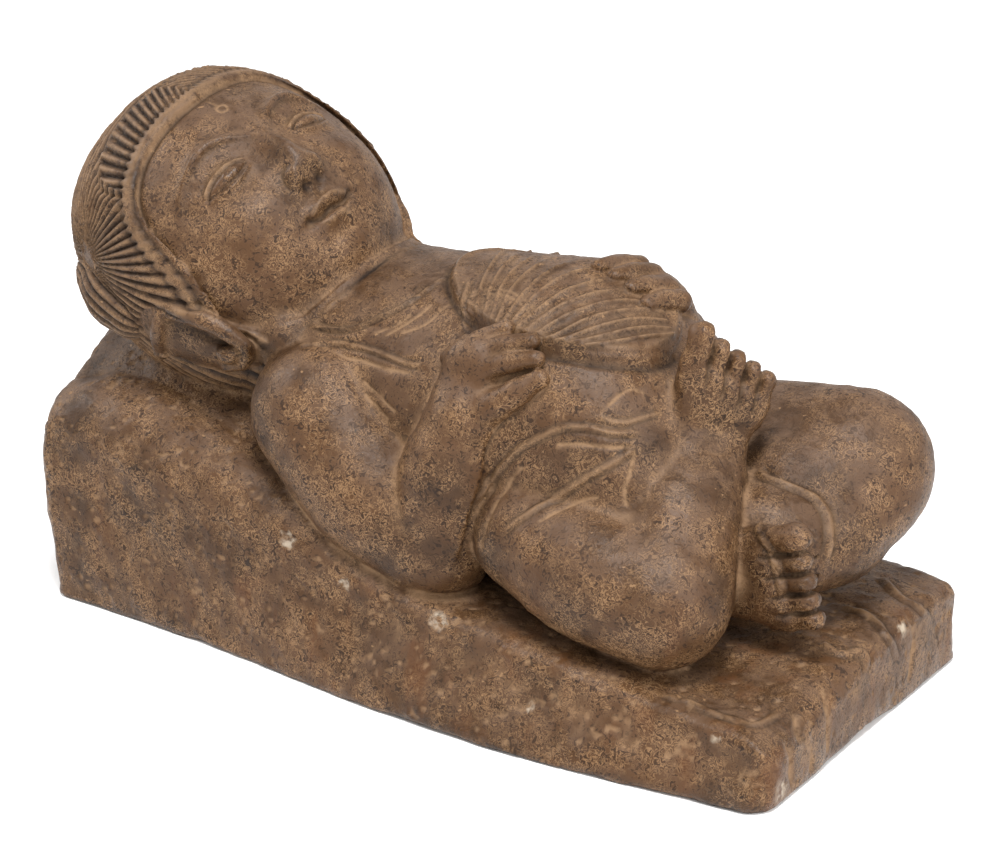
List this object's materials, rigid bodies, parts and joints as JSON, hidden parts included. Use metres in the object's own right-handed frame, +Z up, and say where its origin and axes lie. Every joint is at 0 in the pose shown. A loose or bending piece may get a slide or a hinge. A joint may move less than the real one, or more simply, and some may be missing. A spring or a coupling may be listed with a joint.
{
  "type": "carved stone deity statue",
  "caption": "Stone carving of a plump child deity lying on its back on a wedge-shaped stone couch, legs crossed, with a palm-leaf fan held on the chest.",
  "frame": {"origin": "on the floor, under the middle of the whole part", "axes": "+X runs along the couch from the crown of the head to the feet, +Y to the figure's left side, +Z up"},
  "size_m": [0.7692, 0.386, 0.455],
  "materials": {
    "stone": "satin"
  },
  "bodies": {
    "root": {"reclining_child_deity": "stone"}
  },
  "joints": []
}
